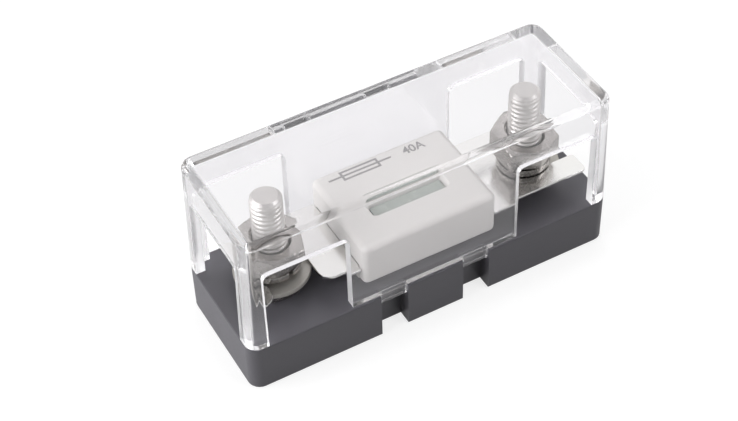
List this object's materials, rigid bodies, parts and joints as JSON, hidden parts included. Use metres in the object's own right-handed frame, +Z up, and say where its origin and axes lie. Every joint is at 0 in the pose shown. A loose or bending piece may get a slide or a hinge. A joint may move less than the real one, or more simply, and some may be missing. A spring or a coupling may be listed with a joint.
{
  "type": "bolted strip fuse holder with clear cover",
  "caption": "Dark moulded base with threaded posts that clamp a slotted strip fuse under nuts and washers, below a clear clip-on cover with openings for cables.",
  "frame": {"origin": "middle of the base's underside", "axes": "+X along the length from the side-slotted end to the end-slotted end, -Y the near long side, +Z up"},
  "size_m": [0.1, 0.0344, 0.0474],
  "materials": {
    "base_plastic": "dark charcoal moulded plastic, faintly glossy",
    "clear_plastic": "clear polished plastic",
    "plated_steel": "bright plated steel",
    "tinned_strip": "bright tin plate, mirror smooth",
    "case_plastic": "white moulded plastic, satin",
    "pane_plastic": "grey-green sight window"
  },
  "bodies": {
    "holder": {"base": "base_plastic", "post_left": "plated_steel", "post_right": "plated_steel", "clamp_nut_left": "plated_steel", "clamp_nut_right": "plated_steel", "flat_washer_left": "plated_steel", "flat_washer_right": "plated_steel", "fuse_strip": "tinned_strip", "fuse_case": "case_plastic", "fuse_plug": "case_plastic", "fuse_window": "pane_plastic"},
    "clear_cover": {"cover": "clear_plastic"},
    "left_washer": {"lock_washer_left": "plated_steel"},
    "left_nut": {"nut_left": "plated_steel"},
    "right_washer": {"lock_washer_right": "plated_steel"},
    "right_nut": {"nut_right": "plated_steel"}
  },
  "joints": [
    {"name": "cover_lift", "type": "slide", "parent": "holder", "child": "clear_cover", "axis": [0, 0, 1], "range_m": [0, 0.036]},
    {"name": "nut_left_rise", "type": "slide", "parent": "holder", "child": "left_washer", "axis": [0, 0, 1], "range_m": [0, 0.0126]},
    {"name": "nut_left_turn", "type": "hinge", "parent": "left_washer", "child": "left_nut", "pos_m": [-0.03515, 0, 0.02305], "axis": [0, 0, 1], "range_deg": [0, 3200]},
    {"name": "nut_right_rise", "type": "slide", "parent": "holder", "child": "right_washer", "axis": [0, 0, 1], "range_m": [0, 0.0126]},
    {"name": "nut_right_turn", "type": "hinge", "parent": "right_washer", "child": "right_nut", "pos_m": [0.03515, 0, 0.02305], "axis": [0, 0, 1], "range_deg": [0, 3200]}
  ],
  "couplings": [
    {"joint": "nut_left_rise", "follows": "nut_left_turn", "m_per_rad": 0.00022457},
    {"joint": "nut_right_rise", "follows": "nut_right_turn", "m_per_rad": 0.00022457}
  ]
}
